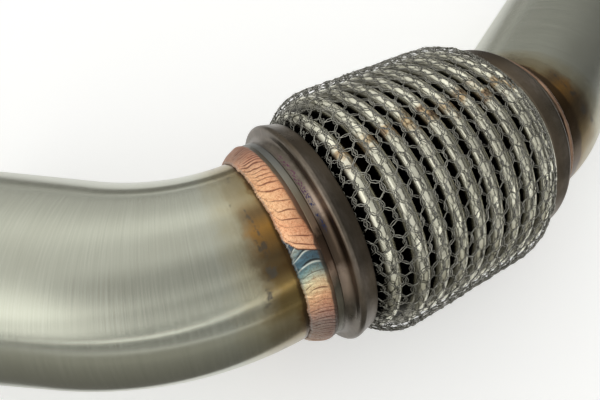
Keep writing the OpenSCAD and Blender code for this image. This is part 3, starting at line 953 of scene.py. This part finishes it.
def knit(parts):
    """The sleeve's wires, in this many pieces side by side along the coupling."""
    rng = np.random.default_rng(KNIT_SEED)
    places = strand_places()
    count = len(places)
    # Where neighbouring strands meet: one wall for each pair and row, moved a little at random
    wall_x = (places[:-1] + places[1:])[:, None] / 2 + rng.normal(0, 0.20, (count - 1, ROWS))
    wall_turn = rng.normal(0, 0.06, (count - 1, ROWS))
    wall_twist = rng.uniform(0.55, 1.15, (count - 1, ROWS))
    wall_lift = rng.normal(0, 0.10, (count - 1, ROWS))
    row = np.repeat(np.arange(ROWS), len(ROW_STEPS))
    local = np.tile(ROW_STEPS, ROWS)
    step = row + local
    samples = len(step)
    pieces = [([], []) for _ in range(parts)]
    sizes = [0] * parts
    for k in range(count):
        meets_next = (row + k) % 2 == 0
        other = np.clip(np.where(meets_next, k, k - 1), 0, count - 2)
        side = np.where(meets_next, -1.0, 1.0)
        centre = wall_x[other, row]
        following_row = np.where(local >= 0, row + 1, row - 1) % ROWS
        following_other = np.clip(np.where(meets_next, k - 1, k), 0, count - 2)
        following = wall_x[following_other, following_row]
        # The strand runs along the wall with one neighbour, hooked through it, then crosses to the other
        reach = np.abs(local) * 2
        share = 0.5 * np.clip((reach - WALL_SHARE) / (1.0 - WALL_SHARE), 0, 1)
        fade = np.clip(1 - (reach / (WALL_SHARE + 0.12)) ** 2, 0, 1)
        turn = wall_twist[other, row] * pi * local * 2 / WALL_SHARE
        hook = 0.36 * np.sqrt(fade)
        x = centre * (1 - share) + following * share + side * (0.10 + hook * np.cos(turn))
        lift = side * hook * 0.85 * np.sin(turn) + wall_lift[other, row] * (1 - share)
        angle = np.radians(SEAM) + 2 * pi * (step + wall_turn[other, row] * (1 - reach)) / ROWS
        roll_start = rng.uniform(0, 2 * pi)
        # The two wires of a strand lie side by side and roll over each other
        roll = (0.7 * np.sin(2 * pi * step * 0.37 + roll_start)
                + 0.5 * np.sin(2 * pi * step * 1.13 + roll_start * 3))
        for wire in (-1, 1):
            beside = wire * PAIR_GAP / 2 * np.cos(roll)
            wire_x = x + beside
            r = sleeve_radius(wire_x) + lift + wire * PAIR_GAP / 2 * np.sin(roll)
            # In the crossing the pair lies across the strand's path, so it is moved around as well
            at = angle + beside * np.where(local >= 0, -side, side) * np.clip(share * 3, 0, 1) / SLEEVE_R
            path = np.stack([wire_x, r * np.cos(at), r * np.sin(at)], -1)
            radial = np.stack([np.zeros(samples), np.cos(at), np.sin(at)], -1)
            points, quads = wire_mesh(path, radial, WIRE_SIDES, WIRE_R)
            part = min(parts - 1, k * parts // count)
            pieces[part][0].append(points)
            pieces[part][1].append(quads + sizes[part])
            sizes[part] += len(points)
    for i, (points, quads) in enumerate(pieces):
        piece = new_piece(f"knit_{i + 1}", np.concatenate(points), np.concatenate(quads),
                          MATERIALS["knit_wire"], ["knit_sleeve"])
        # How far each side of a wire faces out; the material paints shade on the inner sides from it
        facing = 0.5 + 0.5 * np.sin(2 * pi * (np.arange(WIRE_SIDES) + 0.5) / WIRE_SIDES)
        set_value(piece, "outer", np.tile(facing, sizes[i] // WIRE_SIDES))


knit(4)


# CAD pieces that keep their shape
KEPT = {"liner": "liner_steel", "turbo_flange": "flange_steel", "outlet_flange": "flange_steel",
        "turbo_flange_weld": "weld_silver", "outlet_flange_weld": "weld_silver"}
for name, slot in KEPT.items():
    data = frame["nodes"][name].data
    data.materials.clear()
    data.materials.append(MATERIALS[slot])


# Floor and light

FLOOR_SIZE = 6.0
FLOOR_LIFT = 0.345
# Height of the cards above the floor, and the distance over which they pale
CARD_LIFT = 0.002
CARD_FADE = 0.25

# Brightness of the room at angles about the coupling, in degrees from OUT towards UP
ROOM = [(-90, 0.35), (0, 0.45), (6, 0.55), (16, 0.76), (30, 0.84), (40, 0.98), (49, 1.18), (58, 1.18),
        (66, 0.94), (76, 0.88), (90, 0.88), (97, 0.70), (105, 0.52), (120, 0.50), (127, 0.62), (132, 0.70),
        (139, 0.52), (147, 0.66), (154, 0.72), (161, 0.52), (174, 0.34), (186, 0.45), (200, 0.40),
        (215, 0.22), (270, 0.20)]
# Along the coupling the room falls dark on the turbo side, where share 0.5 is straight across
ROOM_ALONG = [(0.0, 0.85), (0.15, 1.05), (0.5, 1.0), (0.64, 1.0), (0.78, 0.38), (1.0, 0.25)]
# A thin bright line low on the near side, at another angle towards the turbo than towards the outlet
LINE_ANGLES = (160.0, 171.0)
LINE_WIDTH = 1.3
LINE_TONE = 3.2
# A bright panel beyond the outlet end, which lights what faces it
PANEL = [(54, 0.1), (84, 0.7), (104, 1.3), (124, 1.35), (146, 0.8), (163, 0.8), (168, 0.0)]


def lay_flat(name, corners, height):
    """A flat sheet with a dull material, and that material's tree and shader."""
    mesh = bpy.data.meshes.new(name)
    mesh.from_pydata([(x, y, height) for x, y in corners], [], [(0, 1, 2, 3)])
    sheet = bpy.data.objects.new(name, mesh)
    bpy.context.scene.collection.objects.link(sheet)
    material, tree, shader = new_material(name)
    shader.inputs["Metallic"].default_value = 0.0
    shader.inputs["Roughness"].default_value = 0.9
    mesh.materials.append(material)
    return sheet, tree, shader


def add_floor():
    """A near white floor at the height on which the part lies."""
    half = FLOOR_SIZE / 2
    corners = [(-half, -half), (half, -half), (half, half), (-half, half)]
    floor, tree, shader = lay_flat("floor", corners, cad_box[0][2])
    shader.inputs["Base Color"].default_value = (0.93, 0.93, 0.93, 1)
    shader.inputs["Specular IOR Level"].default_value = 0.1
    # Seen straight, or in metal, the floor is lifted to near white and still keeps the shadow
    rays = node(tree, "ShaderNodeLightPath")
    seen = calc(tree, "MAXIMUM", rays.outputs["Is Camera Ray"], rays.outputs["Is Glossy Ray"])
    seen = calc(tree, "MAXIMUM", seen, rays.outputs["Is Transmission Ray"])
    shader.inputs["Emission Color"].default_value = (1, 1, 1, 1)
    feed(tree, shader.inputs["Emission Strength"], times(tree, seen, FLOOR_LIFT))


def add_card(name, corners, away, edge, near_tone, far_tone):
    """A grey card that lies on the floor outside the picture and shows only in the metal.

    away is the direction in which it pales, from its edge at this distance."""
    card, tree, shader = lay_flat(name, corners, cad_box[0][2] + CARD_LIFT)
    texture = node(tree, "ShaderNodeTexCoord")
    out = node(tree, "ShaderNodeVectorMath", operation="DOT_PRODUCT")
    feed(tree, out.inputs[0], texture.outputs["Object"])
    out.inputs[1].default_value = away
    reach = calc(tree, "SUBTRACT", out.outputs["Value"], edge)
    pale = mapped(tree, reach, 0.0, CARD_FADE, near_tone, far_tone, smooth=False)
    colour = joined(tree, pale, times(tree, pale, 0.98), times(tree, pale, 0.90))
    feed(tree, shader.inputs["Base Color"], colour)
    card.visible_camera = card.visible_shadow = card.visible_diffuse = False


def add_room():
    """Soft light from all round: a world whose brightness depends on the direction alone."""
    world = bpy.data.worlds.new("world")
    world.use_nodes = True
    tree = world.node_tree
    texture = node(tree, "ShaderNodeTexCoord")

    def towards(direction):
        made = node(tree, "ShaderNodeVectorMath", operation="DOT_PRODUCT")
        feed(tree, made.inputs[0], texture.outputs["Generated"])
        made.inputs[1].default_value = direction
        return made.outputs["Value"]

    along, out, up = towards(ALONG), towards(OUT), towards(UP)
    angle = angle_from(tree, out, up)
    across = ramp(tree, calc(tree, "MULTIPLY_ADD", along, 0.5, 0.5), ROOM_ALONG)
    tone = times(tree, by_angle(tree, angle, ROOM), across)
    line_at = mapped(tree, along, 0.25, -0.45, *LINE_ANGLES, smooth=False)
    line = mapped(tree, off(tree, angle, line_at), LINE_WIDTH, LINE_WIDTH * 0.4, 0.0, LINE_TONE)
    line = times(tree, line, mapped(tree, along, 0.5, 0.3))
    panel = times(tree, by_angle(tree, angle, PANEL), mapped(tree, along, -0.56, -0.78))
    tone = calc(tree, "ADD", tone, calc(tree, "ADD", line, panel))
    # The camera sees plain white behind the floor
    seen = node(tree, "ShaderNodeLightPath").outputs["Is Camera Ray"]
    feed(tree, tree.nodes["Background"].inputs[0], mixed(tree, seen, (1.0, 1.0, 0.97), (1.0, 1.0, 1.0)))
    feed(tree, tree.nodes["Background"].inputs[1],
         calc(tree, "MULTIPLY_ADD", seen, calc(tree, "SUBTRACT", 1.0, tone), tone))
    bpy.context.scene.world = world
    bpy.context.scene.view_settings.view_transform = "Standard"


add_floor()
add_card("front_card", [(-1.6, 0.585), (-1.6, -0.6), (0.2, -1.6), (0.2, -0.434)],
         (-0.4931, -0.8700, 0.0), 0.272, 0.26, 0.56)
add_card("back_card", [(-1.6, 0.19), (0.6, 0.19), (0.6, 0.80), (-1.6, 0.80)],
         (0.0, 1.0, 0.0), 0.19, 0.26, 0.36)
add_room()
